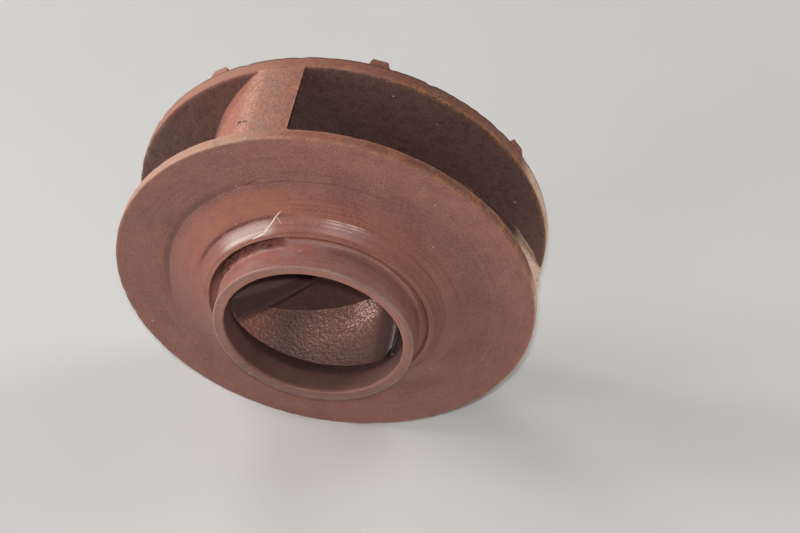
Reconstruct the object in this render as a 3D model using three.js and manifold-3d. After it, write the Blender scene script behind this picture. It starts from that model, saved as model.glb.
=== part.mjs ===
// Closed pump impeller standing on its rim: two shrouds, three backward swept vanes, a suction neck and back ribs.
// Lengths are in millimetres. Along the wheel's axis, places are measured from the front rim's face and are
// positive towards the suction side. Angles are seen from the suction side, anticlockwise from the right.

import * as THREE from 'three';
import { mergeVertices } from 'three/addons/utils/BufferGeometryUtils.js';
import Module from 'manifold-3d';

const wheelDiameter = 365;
const frontRimThickness = 10;
const passageWidth = 74;
const rearPlateThickness = 12.5;
const seatGap = 0.3; // left at curved seats: a vane's edge on the bell mouth, the cone's foot inside the rim

const neckOuterDiameter = 172;
const eyeDiameter = 153;
const neckReach = 48.5;
const boreWallEnd = 31; // where the neck's straight bore turns into the bell mouth
const bellMouthDiameter = 284; // where the bell mouth runs out into the flat inner face

const shoulderDiameter = 190; // the sharp edge above the groove
const shoulderReach = 24;
const shoulderTopDiameter = 197;
const shoulderTopReach = 22;
const shoulderFootDiameter = 214;
const shoulderFootReach = 13;
const coneFootDiameter = 271;
const coneFootDepth = 1; // the turned cone starts this far below the rim's cast face
const grooveBottom = 20.5;
const grooveFloorDiameter = 182;
const neckRootDiameter = 178;
const neckRootReach = 25;

const vaneCount = 3;
const vaneFlankSlope = 0.51; // tangent of the vane's angle to the rim, about 27 degrees
const vaneInnerFlankAngle = 98;
const vaneOuterFlankAngle = 109.8;
const vaneNoseDiameter = 182; // across the inner flanks' ends
const vaneNoseSwell = 9.5; // how much thicker the blunt nose is than the two spirals alone make it
const vaneSwellDiameter = 260; // where the swell has run out
const flankSteps = 18;
const tipSteps = 3;
const noseSteps = 6;

const hubFlareDiameter = 156;
const hubFlareEdge = 1.5;
const hubNoseDiameter = 84;
const hubNoseReach = -46;
const hubFlareTop = -51;
const hubSplit = 0.45; // share of the flare's turn that belongs to the skirt on the rear plate
const hubCurveSteps = 6;
const bossDiameter = 104;
const bossHeight = 8;
const shaftBoreDiameter = 55;
const keywayWidth = 16;
const keywayDepth = 4.3; // beyond the bore's wall

const ribCount = 8;
const firstRibAngle = 34.3;
const ribHeight = 6.5;
const ribFootWidth = 17;
const ribTopWidth = 13.4;
const ribInnerRadius = 58;

const rimSides = 72;
const smallSides = 48;
const curveSteps = 10;

const rearFace = -(frontRimThickness + passageWidth);
const plateBack = rearFace - rearPlateThickness;
const bossBack = plateBack - bossHeight;
const degree = Math.PI / 180;

const wasm = await Module();
wasm.setup();

const primer = new THREE.MeshStandardMaterial({ color: 0x8a5648, roughness: 0.75, metalness: 0.15 });
const machinedPrimer = new THREE.MeshStandardMaterial({ color: 0x9a5f4c, roughness: 0.5, metalness: 0.25 });
const sandCast = new THREE.MeshStandardMaterial({ color: 0x6b463c, roughness: 0.9, metalness: 0.1 });
const boredIron = new THREE.MeshStandardMaterial({ color: 0x7d6a60, roughness: 0.45, metalness: 0.5 });

// A many-sided solid stands for a round one whose sides touch the real circle, so that the wheel rests on a side.
function sidedRadius(diameter, sides) {
  return diameter / 2 / Math.cos(Math.PI / sides);
}

function toSolid(geometry) {
  const bare = geometry.clone();
  bare.deleteAttribute('normal');
  bare.deleteAttribute('uv');
  const merged = mergeVertices(bare, 1e-4);
  return new wasm.Manifold(
    new wasm.Mesh({
      numProp: 3,
      vertProperties: new Float32Array(merged.attributes.position.array),
      triVerts: new Uint32Array(merged.index.array),
    }),
  );
}

function toGeometry(solid) {
  const mesh = solid.getMesh();
  const geometry = new THREE.BufferGeometry();
  geometry.setAttribute('position', new THREE.BufferAttribute(new Float32Array(mesh.vertProperties), 3));
  geometry.setIndex(new THREE.BufferAttribute(new Uint32Array(mesh.triVerts), 1));
  geometry.computeVertexNormals();
  return geometry;
}

// Turns a closed outline of [radius, place on the axis] round the wheel's axis, which is local Z.
function turned(outline, sides) {
  const points = outline.map(([radius, place]) => new THREE.Vector2(radius, place));
  points.push(points[0].clone());
  const geometry = new THREE.LatheGeometry(points, sides, Math.PI / sides);
  geometry.rotateX(Math.PI / 2);
  geometry.rotateZ(Math.PI / 2);
  return geometry;
}

// Points of a quarter ellipse from the end of its first half axis to the end of its second.
function quarterEllipse(centre, first, second, steps) {
  const points = [];
  for (let step = 0; step <= steps; step += 1) {
    const turn = (Math.PI / 2) * (step / steps);
    points.push([
      centre[0] + first[0] * Math.cos(turn) + second[0] * Math.sin(turn),
      centre[1] + first[1] * Math.cos(turn) + second[1] * Math.sin(turn),
    ]);
  }
  return points;
}

// The curved inner face of the front shroud, from the neck's straight bore out to the flat part.
function bellMouth(inset) {
  const mouthRadius = bellMouthDiameter / 2;
  const eyeRadius = eyeDiameter / 2;
  return quarterEllipse(
    [mouthRadius, boreWallEnd],
    [eyeRadius - mouthRadius - inset, 0],
    [0, -frontRimThickness - boreWallEnd - inset],
    curveSteps,
  );
}

// The front shroud is split into flat layers, and this gives the bell mouth's radius at a split.
function bellMouthRadiusAt(place) {
  const rise = (boreWallEnd - place) / (boreWallEnd + frontRimThickness);
  const mouthRadius = bellMouthDiameter / 2;
  return mouthRadius - (mouthRadius - eyeDiameter / 2) * Math.sqrt(1 - rise * rise);
}

// The bell mouth's points between two places, with one point on each of the two.
function bellMouthBetween(upper, lower) {
  const inside = bellMouth(0).filter(([, place]) => place < upper - 1 && place > lower + 1);
  return [[bellMouthRadiusAt(upper), upper], ...inside, [bellMouthRadiusAt(lower), lower]];
}

// The steep band's radius level with the groove's floor, where the shoulder stands on the cone.
function shoulderBaseRadius() {
  const rise = (grooveBottom - shoulderFootReach) / (shoulderTopReach - shoulderFootReach);
  return (shoulderFootDiameter + (shoulderTopDiameter - shoulderFootDiameter) * rise) / 2;
}

function frontRim() {
  const rim = sidedRadius(wheelDiameter, rimSides);
  const outline = [
    [rim, -frontRimThickness],
    [rim, 0],
    [coneFootDiameter / 2, 0],
    [coneFootDiameter / 2, -coneFootDepth],
    ...bellMouthBetween(-coneFootDepth, -frontRimThickness),
  ];
  return turned(outline, rimSides);
}

function frontCone() {
  const outline = [
    [coneFootDiameter / 2 - seatGap, -coneFootDepth],
    [shoulderFootDiameter / 2, shoulderFootReach],
    [shoulderBaseRadius(), grooveBottom],
    ...bellMouthBetween(grooveBottom, -coneFootDepth),
  ];
  return turned(outline, rimSides);
}

// The steep band's upper part, from the cone up to the sharp edge above the groove.
function frontShoulder() {
  const outline = [
    [grooveFloorDiameter / 2, grooveBottom],
    [shoulderBaseRadius(), grooveBottom],
    [shoulderTopDiameter / 2, shoulderTopReach],
    [shoulderDiameter / 2, shoulderReach],
  ];
  return turned(outline, rimSides);
}

function suctionNeck() {
  const outline = [
    [neckRootDiameter / 2, grooveBottom],
    [neckOuterDiameter / 2, neckRootReach],
    [neckOuterDiameter / 2, neckReach],
    [eyeDiameter / 2, neckReach],
    ...bellMouthBetween(boreWallEnd, grooveBottom),
  ];
  return turned(outline, rimSides);
}

function keyedBore(length) {
  const bore = new THREE.CylinderGeometry(shaftBoreDiameter / 2, shaftBoreDiameter / 2, length, smallSides);
  bore.rotateX(Math.PI / 2);
  const keyReach = shaftBoreDiameter / 2 + keywayDepth;
  const key = new THREE.BoxGeometry(keywayWidth, keyReach, length);
  key.translate(0, keyReach / 2, 0);
  return toSolid(bore).add(toSolid(key));
}

// Cuts the keyed shaft bore through a turned solid.
function bored(geometry) {
  return toGeometry(toSolid(geometry).subtract(keyedBore(4 * wheelDiameter)));
}

function rearShroud() {
  const rim = sidedRadius(wheelDiameter, rimSides);
  const outline = [
    [0, plateBack],
    [rim, plateBack],
    [rim, rearFace],
    [0, rearFace],
  ];
  return bored(turned(outline, rimSides));
}

// The hub's hollow curve between two shares of its quarter turn, 0 at the rear plate and 1 at the nose.
function hubFlareCurve(from, to) {
  const flareRadius = hubFlareDiameter / 2;
  const noseRadius = hubNoseDiameter / 2;
  const points = [];
  for (let step = 0; step <= hubCurveSteps; step += 1) {
    const turn = (Math.PI / 2) * (from + ((to - from) * step) / hubCurveSteps);
    points.push([
      flareRadius + (noseRadius - flareRadius) * Math.sin(turn),
      hubFlareTop + (rearFace + hubFlareEdge - hubFlareTop) * Math.cos(turn),
    ]);
  }
  return points;
}

function hubFlare() {
  const curve = hubFlareCurve(0, hubSplit);
  const top = curve[curve.length - 1][1];
  return bored(turned([[0, rearFace], [hubFlareDiameter / 2, rearFace], ...curve, [0, top]], smallSides));
}

function hubNose() {
  const noseRadius = hubNoseDiameter / 2;
  const curve = hubFlareCurve(hubSplit, 1);
  const outline = [
    [0, curve[0][1]],
    ...curve,
    [noseRadius, hubNoseReach - 2],
    [noseRadius - 2, hubNoseReach],
    [0, hubNoseReach],
  ];
  return bored(turned(outline, smallSides));
}

function hubBoss() {
  const outline = [
    [0, bossBack],
    [bossDiameter / 2 - 1.5, bossBack],
    [bossDiameter / 2, bossBack + 1.5],
    [bossDiameter / 2, plateBack],
    [0, plateBack],
  ];
  return bored(turned(outline, smallSides));
}

function onSpiral(radius, tipAngle) {
  const turn = tipAngle * degree + Math.log(wheelDiameter / 2 / radius) / vaneFlankSlope;
  return new THREE.Vector2(radius * Math.cos(turn), radius * Math.sin(turn));
}

// Points along one flank, from its nose end out to the rim.
function flankPoints(tipAngle, noseRadius) {
  const tipRadius = wheelDiameter / 2;
  const points = [];
  for (let step = 0; step <= flankSteps; step += 1) {
    points.push(onSpiral(noseRadius * (tipRadius / noseRadius) ** (step / flankSteps), tipAngle));
  }
  return points;
}

// Moves a point of the outer flank outwards, so that the vane thickens towards its blunt nose.
function swollen(point) {
  const left = Math.max(vaneSwellDiameter / 2 - point.length(), 0);
  const push = vaneNoseSwell * (left / ((vaneSwellDiameter - vaneNoseDiameter) / 2)) ** 3;
  const outward = point.angle() + Math.atan(vaneFlankSlope);
  return new THREE.Vector2(point.x + push * Math.cos(outward), point.y + push * Math.sin(outward));
}

// Half a circle from the inner flank's end to the outer flank's end, bulging towards the eye.
function nosePoints(innerEnd, outerEnd) {
  const centre = outerEnd.clone().add(innerEnd).multiplyScalar(0.5);
  const across = innerEnd.clone().sub(centre);
  const along = new THREE.Vector2(across.y, -across.x);
  if (along.dot(centre) > 0) {
    along.negate();
  }
  const points = [];
  for (let step = 1; step < noseSteps; step += 1) {
    const turn = Math.PI * (step / noseSteps);
    const point = centre.clone();
    point.addScaledVector(across, Math.cos(turn));
    point.addScaledVector(along, Math.sin(turn));
    points.push(point);
  }
  return points;
}

// A vane in plan: an inner and an outer flank on logarithmic spirals, a tip on the rim and a rounded nose.
function vanePlan() {
  const spread = (vaneOuterFlankAngle - vaneInnerFlankAngle) * degree;
  const flankTurn = Math.atan(vaneFlankSlope);
  const innerNoseRadius = vaneNoseDiameter / 2;
  const outerNoseRadius = innerNoseRadius * Math.exp(spread * Math.sin(flankTurn) * Math.cos(flankTurn));
  const outerFlank = flankPoints(vaneOuterFlankAngle, outerNoseRadius).map(swollen);
  const innerFlank = flankPoints(vaneInnerFlankAngle, innerNoseRadius);
  const tip = [];
  for (let step = 1; step < tipSteps; step += 1) {
    const angle = vaneOuterFlankAngle + (vaneInnerFlankAngle - vaneOuterFlankAngle) * (step / tipSteps);
    tip.push(onSpiral(wheelDiameter / 2, angle));
  }
  const nose = nosePoints(innerFlank[0], outerFlank[0]);
  return new THREE.Shape([...outerFlank, ...tip, ...innerFlank.reverse(), ...nose]);
}

// The room between the shrouds, which trims the vanes: flat at the rear plate, curved at the bell mouth.
function passageRoom() {
  const rim = 1.2 * wheelDiameter;
  const outline = [
    [0, rearFace],
    [rim, rearFace],
    [rim, -frontRimThickness],
    [bellMouthDiameter / 2, -frontRimThickness],
    ...bellMouth(seatGap).reverse(),
    [0, boreWallEnd],
  ];
  return toSolid(turned(outline, rimSides));
}

function vane() {
  const depth = boreWallEnd - rearFace;
  const blank = new THREE.ExtrudeGeometry(vanePlan(), { depth, bevelEnabled: false });
  blank.translate(0, 0, rearFace);
  return toGeometry(toSolid(blank).intersect(passageRoom()));
}

// A tapered bar along local X that stands on the back of the rear plate.
function backRib() {
  const outerEnd = Math.sqrt((wheelDiameter / 2) ** 2 - (ribFootWidth / 2) ** 2);
  const section = new THREE.Shape([
    new THREE.Vector2(-ribFootWidth / 2, 0),
    new THREE.Vector2(ribFootWidth / 2, 0),
    new THREE.Vector2(ribTopWidth / 2, ribHeight),
    new THREE.Vector2(-ribTopWidth / 2, ribHeight),
  ]);
  const geometry = new THREE.ExtrudeGeometry(section, { depth: outerEnd - ribInnerRadius, bevelEnabled: false });
  geometry.rotateX(-Math.PI / 2);
  geometry.rotateZ(-Math.PI / 2);
  geometry.translate(ribInnerRadius, 0, plateBack);
  return geometry;
}

function named(name, geometry, material) {
  const mesh = new THREE.Mesh(geometry, material);
  mesh.name = name;
  return mesh;
}

const wheel = new THREE.Group();
wheel.add(named('front_rim', frontRim(), primer));
wheel.add(named('front_cone', frontCone(), machinedPrimer));
wheel.add(named('front_shoulder', frontShoulder(), machinedPrimer));
wheel.add(named('suction_neck', suctionNeck(), machinedPrimer));
wheel.add(named('rear_shroud', rearShroud(), primer));
wheel.add(named('hub_flare', hubFlare(), sandCast));
wheel.add(named('hub_nose', hubNose(), sandCast));
wheel.add(named('hub_boss', hubBoss(), boredIron));

for (let index = 0; index < vaneCount; index += 1) {
  const mesh = named(`vane_${index + 1}`, vane(), sandCast);
  mesh.rotation.z = -index * (360 / vaneCount) * degree;
  wheel.add(mesh);
}

for (let index = 0; index < ribCount; index += 1) {
  const mesh = named(`back_rib_${index + 1}`, backRib(), primer);
  mesh.rotation.z = (firstRibAngle + index * (360 / ribCount)) * degree;
  wheel.add(mesh);
}

// The wheel stands on its rim with the suction side towards -Y; the origin is under the middle of its width.
const impeller = new THREE.Group();
wheel.rotation.x = Math.PI / 2;
wheel.position.set(0, (neckReach + bossBack) / 2, wheelDiameter / 2);
impeller.add(wheel);

export default impeller;
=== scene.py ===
# Closed pump impeller standing on its rim. Settings are in millimetres, and in degrees as seen from the
# suction side, anticlockwise from the right. Places on the axis count from the front rim's face.
import math
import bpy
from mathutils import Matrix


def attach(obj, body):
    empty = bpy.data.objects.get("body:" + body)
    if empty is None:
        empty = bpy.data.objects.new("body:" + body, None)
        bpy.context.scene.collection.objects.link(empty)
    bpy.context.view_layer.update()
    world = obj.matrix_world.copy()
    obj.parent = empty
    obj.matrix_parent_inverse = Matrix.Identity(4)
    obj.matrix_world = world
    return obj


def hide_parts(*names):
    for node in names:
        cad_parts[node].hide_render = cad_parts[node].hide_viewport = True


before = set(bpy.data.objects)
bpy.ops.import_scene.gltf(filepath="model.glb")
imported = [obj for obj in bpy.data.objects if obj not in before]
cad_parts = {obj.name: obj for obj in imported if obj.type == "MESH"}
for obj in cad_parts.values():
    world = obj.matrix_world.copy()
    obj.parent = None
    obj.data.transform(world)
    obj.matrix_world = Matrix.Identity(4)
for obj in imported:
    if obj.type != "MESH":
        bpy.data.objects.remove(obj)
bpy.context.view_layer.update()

from types import SimpleNamespace

import bmesh
import bpy
from mathutils import Vector, noise

milli = 0.001
fullTurn = 2 * math.pi
roundEnd = 0.3
sharpestBend = 38  # degrees between two faces that are still shaded as one surface

wheel = {
    "axisHeight": 182.5,
    "rimPlace": -28.0,  # world Y of the front rim's face
    "radius": 182.5,
    "rimThickness": 10.0,
    "passageWidth": 74.0,
    "plateThickness": 12.5,
    "mouthRadius": 142.0,
    "eyeRadius": 76.5,
    "boreEnd": 31.0,
    "shaftRadius": 27.5,
    "keyHalfWidth": 8.0,
    "keyReach": 31.8,
}
innerFace = -wheel["rimThickness"]
rearFace = innerFace - wheel["passageWidth"]
plateBack = rearFace - wheel["plateThickness"]


# Helpers for points, outlines and meshes

def wheelPoint(radius, angle, place):
    across = radius * math.cos(angle)
    up = wheel["axisHeight"] + radius * math.sin(angle)
    return Vector((across, wheel["rimPlace"] - place, up)) * milli


# Goes from 0 at the first value to 1 at the second, which may be the smaller one.
def smoothStep(low, high, value):
    share = min(max((value - low) / (high - low), 0.0), 1.0)
    return share * share * (3 - 2 * share)


# Rises from start to full and falls from fading to end.
def window(value, start, full, fading, end):
    return smoothStep(start, full, value) * (1 - smoothStep(fading, end, value))


def lumps(radius, angle, place, size, seed=0.0):
    point = Vector((radius * math.cos(angle), place, radius * math.sin(angle))) / size
    return noise.noise(point + Vector((seed, seed * 0.7, -seed)))


def roundedCorner(before, corner, after, rounding, steps=5):
    here = Vector(corner)
    inward = (Vector(before) - here).normalized()
    outward = (Vector(after) - here).normalized()
    bend = math.acos(max(-1.0, min(1.0, inward.dot(outward))))
    reach = rounding / math.tan(bend / 2)
    start, end = here + inward * reach, here + outward * reach
    middle = (inward + outward).normalized() * (rounding / math.sin(bend / 2)) + here
    points = []
    for step in range(steps + 1):
        share = step / steps
        onChord = start.lerp(end, share)
        points.append(middle + (onChord - middle).normalized() * rounding)
    return points


# Corners are (radius, place, rounding). Gives points (radius, place, edge), where edge is 1 on a rounded edge
# that counts as one for the wear.
def roundedOutline(corners, spacing=2.2, reach=2.0, counts=None):
    pieces = []
    for index, (radius, place, rounding) in enumerate(corners):
        before, after = corners[index - 1][:2], corners[(index + 1) % len(corners)][:2]
        if rounding:
            rounded = roundedCorner(before, (radius, place), after, rounding)
            pieces.append([(*point, 1.0) for point in rounded])
        else:
            pieces.append([(radius, place, 0.0)])
    points = []
    for index, piece in enumerate(pieces):
        points.extend(piece)
        start, end = piece[-1], pieces[(index + 1) % len(pieces)][0]
        length = math.dist(start[:2], end[:2])
        count = int(length // spacing)
        shares = [step / (count + 1) for step in range(1, count + 1)]
        if length > 4 * roundEnd:  # a close point beside each rounded edge keeps its shading crisp
            shares = [roundEnd / length] * (start[2] == 1) + shares + [1 - roundEnd / length] * (end[2] == 1)
        for share in shares:
            fromStart, fromEnd = share * length / reach, (1 - share) * length / reach
            radius, place = start[0] + (end[0] - start[0]) * share, start[1] + (end[1] - start[1]) * share
            points.append((radius, place, max(start[2] * (1 - fromStart), end[2] * (1 - fromEnd), 0.0)))
    if counts:
        points = [(radius, place, edge if counts(radius, place) else 0.0) for radius, place, edge in points]
    return points


def mouthCurve(fromPlace, toPlace, steps):
    places = [fromPlace + (toPlace - fromPlace) * step / steps for step in range(steps + 1)]
    return [(mouthRadiusAt(place), place, 0.0) for place in places]


def mouthRadiusAt(place):
    rise = (wheel["boreEnd"] - place) / (wheel["boreEnd"] - innerFace)
    span = wheel["mouthRadius"] - wheel["eyeRadius"]
    return wheel["mouthRadius"] - span * math.sqrt(max(1 - rise * rise, 0.0))


def evenAngles(segments):
    return [fullTurn * step / segments for step in range(segments)]


def keyedBoreRadius(angle):
    across, up = math.cos(angle), math.sin(angle)
    bore = wheel["shaftRadius"]
    if up <= 0 or abs(across) * bore >= wheel["keyHalfWidth"] * 1.2:
        return bore
    toTop = wheel["keyReach"] / up
    toSide = wheel["keyHalfWidth"] / max(abs(across), 1e-6)
    return max(bore, min(toTop, toSide))


def boreAngles(segments):
    corner = math.atan2(wheel["keyReach"], wheel["keyHalfWidth"])
    mouth = math.acos(wheel["keyHalfWidth"] / wheel["shaftRadius"])
    return sorted(evenAngles(segments) + [corner, mouth, math.pi - corner, math.pi - mouth])


def makeObject(name, vertices, faces, attributes=None):
    mesh = bpy.data.meshes.new(name)
    mesh.from_pydata(vertices, [], faces)
    for label, values in (attributes or {}).items():
        mesh.attributes.new(label, "FLOAT", "POINT").data.foreach_set("value", values)
    tidy = bmesh.new()
    tidy.from_mesh(mesh)
    bmesh.ops.recalc_face_normals(tidy, faces=tidy.faces)
    tidy.to_mesh(mesh)
    tidy.free()
    smoothShade(mesh)
    return addToScene(name, mesh)


def addToScene(name, data):
    thing = bpy.data.objects.new(name, data)
    bpy.context.scene.collection.objects.link(thing)
    return thing


def smoothShade(mesh):
    mesh.polygons.foreach_set("use_smooth", [True] * len(mesh.polygons))
    mesh.set_sharp_from_angle(angle=math.radians(sharpestBend))


# Faces between rows of points, where each row runs round once, and closed rows meet again.
def rowFaces(count, rows, closed=False):
    faces = []
    for row in range(rows):
        start, following = row * count, (row + 1) % (rows if closed else rows + 1) * count
        for index in range(count):
            after = (index + 1) % count
            faces.append((start + index, start + after, following + after, following + index))
    return faces


# Helpers for node trees. A socket knows its own tree, so most of them take values only.

def feed(socket, value):
    if isinstance(value, bpy.types.NodeSocket):
        socket.id_data.links.new(value, socket)
    else:
        socket.default_value = value


def put(tree, kind, sockets=None, options=None):
    node = tree.nodes.new(kind)
    for label, value in (options or {}).items():
        setattr(node, label, value)
    for label, value in (sockets or {}).items():
        feed(node.inputs[label], value)
    return node


def treeOf(values):
    return next(value.id_data for value in values if isinstance(value, bpy.types.NodeSocket))


def calc(operation, *values, clamp=False):
    options = {"operation": operation, "use_clamp": clamp}
    return put(treeOf(values), "ShaderNodeMath", dict(enumerate(values)), options).outputs[0]


def times(product, *others):
    for other in others:
        product = calc("MULTIPLY", product, other)
    return product


def plus(first, second):
    return calc("ADD", first, second)


def minus(first, second):
    return calc("SUBTRACT", first, second)


def divided(value, divisor):
    return calc("DIVIDE", value, divisor)


def scaled(value, factor, offset):
    return calc("MULTIPLY_ADD", value, factor, offset)


def highest(first, second):
    return calc("MAXIMUM", first, second)


def ramp(value, low, high, toLow=0.0, toHigh=1.0):
    sockets = {"Value": value, "From Min": low, "From Max": high, "To Min": toLow, "To Max": toHigh}
    options = {"interpolation_type": "SMOOTHSTEP"}
    return put(value.id_data, "ShaderNodeMapRange", sockets, options).outputs["Result"]


# 1 between two values, with a soft step that reaches out and in by the given width at each.
def band(value, low, high, soft):
    return times(ramp(value, low - soft, low + soft), ramp(value, high + soft, high - soft))


def within(value, stretch):
    return band(value, *stretches[stretch])


# Lays one colour over another by the product of the shares. A word is the name of a skin tone.
def lay(under, over, *shares):
    factor = times(*shares)
    node = put(factor.id_data, "ShaderNodeMix", {"Factor": factor}, {"data_type": "RGBA"})
    colourSockets = [socket for socket in node.inputs if socket.type == "RGBA"]
    for socket, colour in zip(colourSockets, (under, over)):
        colour = skinTones[colour] if isinstance(colour, str) else colour
        feed(socket, (*colour, 1) if isinstance(colour, tuple) else colour)
    return [socket for socket in node.outputs if socket.type == "RGBA"][0]


def noiseOf(vector, scale, detail=2.0, roughness=0.5):
    sockets = {"Vector": vector, "Scale": scale, "Detail": detail, "Roughness": roughness}
    return put(vector.id_data, "ShaderNodeTexNoise", sockets).outputs[0]


def cellsOf(vector, scale):
    return put(vector.id_data, "ShaderNodeTexVoronoi", {"Vector": vector, "Scale": scale}).outputs


def vectorOf(x=0.0, y=0.0, z=0.0):
    return put(treeOf((x, y, z)), "ShaderNodeCombineXYZ", {"X": x, "Y": y, "Z": z}).outputs[0]


def floats(*labels):
    return dict.fromkeys(labels, "Float")


# A number as an input's value is a float's default, and a word is the socket's type.
def newTree(name, kind, inputs, outputs):
    tree = bpy.data.node_groups.new(name, kind + "NodeTree")
    for direction, sockets in (("INPUT", inputs), ("OUTPUT", outputs)):
        for label, value in sockets.items():
            socketType = "NodeSocket" + (value if isinstance(value, str) else "Float")
            socket = tree.interface.new_socket(label, in_out=direction, socket_type=socketType)
            if not isinstance(value, str):
                socket.default_value = value
    return tree, tree.nodes.new("NodeGroupInput").outputs, tree.nodes.new("NodeGroupOutput").inputs


def giveOut(result, *values):
    for socket, value in zip(result, values):
        feed(socket, value)


# Sets a modifier's inputs by their socket identifiers, then swaps the piece's mesh for the evaluated one.
def runTree(piece, tree, values):
    modifier = piece.modifiers.new(tree.name, "NODES")
    identifiers = {item.name: item.identifier for item in tree.interface.items_tree if item.in_out == "INPUT"}
    modifier.node_group = tree
    for label, value in values.items():
        modifier[identifiers[label]] = value
    bpy.context.view_layer.update()
    evaluated = piece.evaluated_get(bpy.context.evaluated_depsgraph_get())
    mesh = bpy.data.meshes.new_from_object(evaluated)
    piece.modifiers.remove(modifier)
    mesh.name = piece.name
    piece.data = mesh
    smoothShade(mesh)
    return piece


# Shader groups shared by the finishes

def makePlacesGroup():
    outputs = {**floats("Radius", "Turn", "Place", "Across", "Up"), "Rings": "Vector"}
    tree, given, result = newTree("wheelPlaces", "Shader", {"Vector": "Vector"}, outputs)
    x, y, z = put(tree, "ShaderNodeSeparateXYZ", {0: given["Vector"]}).outputs
    across = times(x, 1000.0)
    up = scaled(z, 1000.0, -wheel["axisHeight"])
    radius = calc("SQRT", plus(calc("POWER", across, 2.0), calc("POWER", up, 2.0)))
    place = scaled(y, -1000.0, wheel["rimPlace"])
    turn = calc("DEGREES", calc("ARCTAN2", up, across))
    rings = vectorOf(plus(radius, times(place, 0.6)), times(across, 0.011), times(up, 0.011))
    giveOut(result, radius, turn, place, across, up, rings)
    return tree


def makeSkinGroup():
    inputs = {"Vector": "Vector", "Grain": 700.0, "Lumps": 120.0}
    outputs = floats("Height", "Pits", "Clouds", "Speckle", "Mottle", "Grains")
    tree, given, result = newTree("castSkin", "Shader", inputs, outputs)
    vector, lumpScale = given["Vector"], given["Lumps"]
    relief = times(noiseOf(vector, lumpScale, 3.0, 0.55), 0.7)
    relief = plus(relief, times(noiseOf(vector, given["Grain"], 3.0, 0.6), 0.3))
    sparse = ramp(noiseOf(vector, times(lumpScale, 0.5), 1.0), 0.5, 0.62)
    pits = times(ramp(cellsOf(vector, times(lumpScale, 2.6))["Distance"], 0.24, 0.05), sparse)
    clouds, speckle = noiseOf(vector, 34.0, 4.0, 0.6), noiseOf(vector, 760.0, 4.0, 0.8)
    mottle, grains = noiseOf(vector, 92.0, 5.0, 0.66), noiseOf(vector, 420.0, 2.0, 0.6)
    giveOut(result, minus(relief, times(pits, 0.35)), pits, clouds, speckle, mottle, grains)
    return tree


def makeToolMarksGroup():
    outputs = floats("Height", "Streaks", "Furrows")
    tree, given, result = newTree("toolMarks", "Shader", {"Rings": "Vector", "Pitch": 1.6}, outputs)
    coarse = noiseOf(given["Rings"], divided(0.55, given["Pitch"]))
    fine = noiseOf(given["Rings"], divided(1.7, given["Pitch"]), 2.0, 0.65)
    height = plus(times(coarse, 0.6), times(fine, 0.4))
    giveOut(result, height, ramp(fine, 0.46, 0.66), ramp(fine, 0.47, 0.3))
    return tree


def makeRustGroup():
    inputs = {"Vector": "Vector", "Amount": 0.5}
    tree, given, result = newTree("rustAndDust", "Shader", inputs, floats("Flecks", "Dust"))
    vector = given["Vector"]
    fine, broad = noiseOf(vector, 640.0, 3.0, 0.65), noiseOf(vector, 60.0, 3.0, 0.55)
    rusty = plus(times(fine, 0.8), times(broad, 0.2))
    limit = minus(0.72, times(given["Amount"], 0.22))
    cells = cellsOf(vector, 190.0)
    chosen = ramp(put(tree, "ShaderNodeSeparateColor", {0: cells["Color"]}).outputs[0], 0.972, 0.99)
    giveOut(result, ramp(rusty, limit, plus(limit, 0.045)), times(ramp(cells["Distance"], 0.2, 0.1), chosen))
    return tree


groups = {
    "places": makePlacesGroup(),
    "skin": makeSkinGroup(),
    "marks": makeToolMarksGroup(),
    "rust": makeRustGroup(),
}
print("shader groups ready")


# Gives a group's outputs by their names in small letters, such as skin.mottle.
def useGroup(label, sockets):
    node = put(treeOf(sockets.values()), "ShaderNodeGroup", sockets, {"node_tree": groups[label]})
    return SimpleNamespace(**{socket.name.lower(): socket for socket in node.outputs})


# A mark along a straight line between two points across and up from the wheel's axis.
def lineMark(at, mark):
    start, end = Vector(mark["start"]), Vector(mark["end"])
    along = (end - start).normalized()
    right, above = minus(at.across, start.x), minus(at.up, start.y)
    reach = plus(times(right, along.x), times(above, along.y))
    aside = minus(times(above, along.x), times(right, along.y))
    aside = scaled(minus(noiseOf(at.rings, markBends), 0.5), mark["sway"], aside)
    inReach = band(reach, 0.0, (end - start).length, mark["fade"])
    return times(band(aside, -mark["width"], mark["width"], markSoftness), inReach)


# Finishes

marksOnWheel = {
    "scratchAndHighlight": {"start": (-43, 89.7), "end": (-29.4, 107.8), "width": 0.3, "fade": 2, "sway": 3.0},
    "fork": {"start": (-34.6, 103), "end": (-28.4, 99.8), "width": 0.12, "fade": 1, "sway": 1.0},
    "nick": {"start": (-51.5, 83.3), "end": (-43, 89.7), "width": 0.4, "fade": 1, "sway": 1.5},
}
markBends = 0.4
markSoftness = 0.3
brightStreaks = ((106.7, 107.2), (105.3, 105.7), (103.2, 103.5))  # radii of painted highlight streaks along the cone's tool marks
endPits = ((112.0, 113.9, 1.2), (109.6, 111.1, 0.9))  # turns from and to, and half the width, on vane 1's end
leadingEdge = (0.436, 74.6)  # the vanes' edge in radii: slope over the place, and radius at the rim's face

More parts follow.
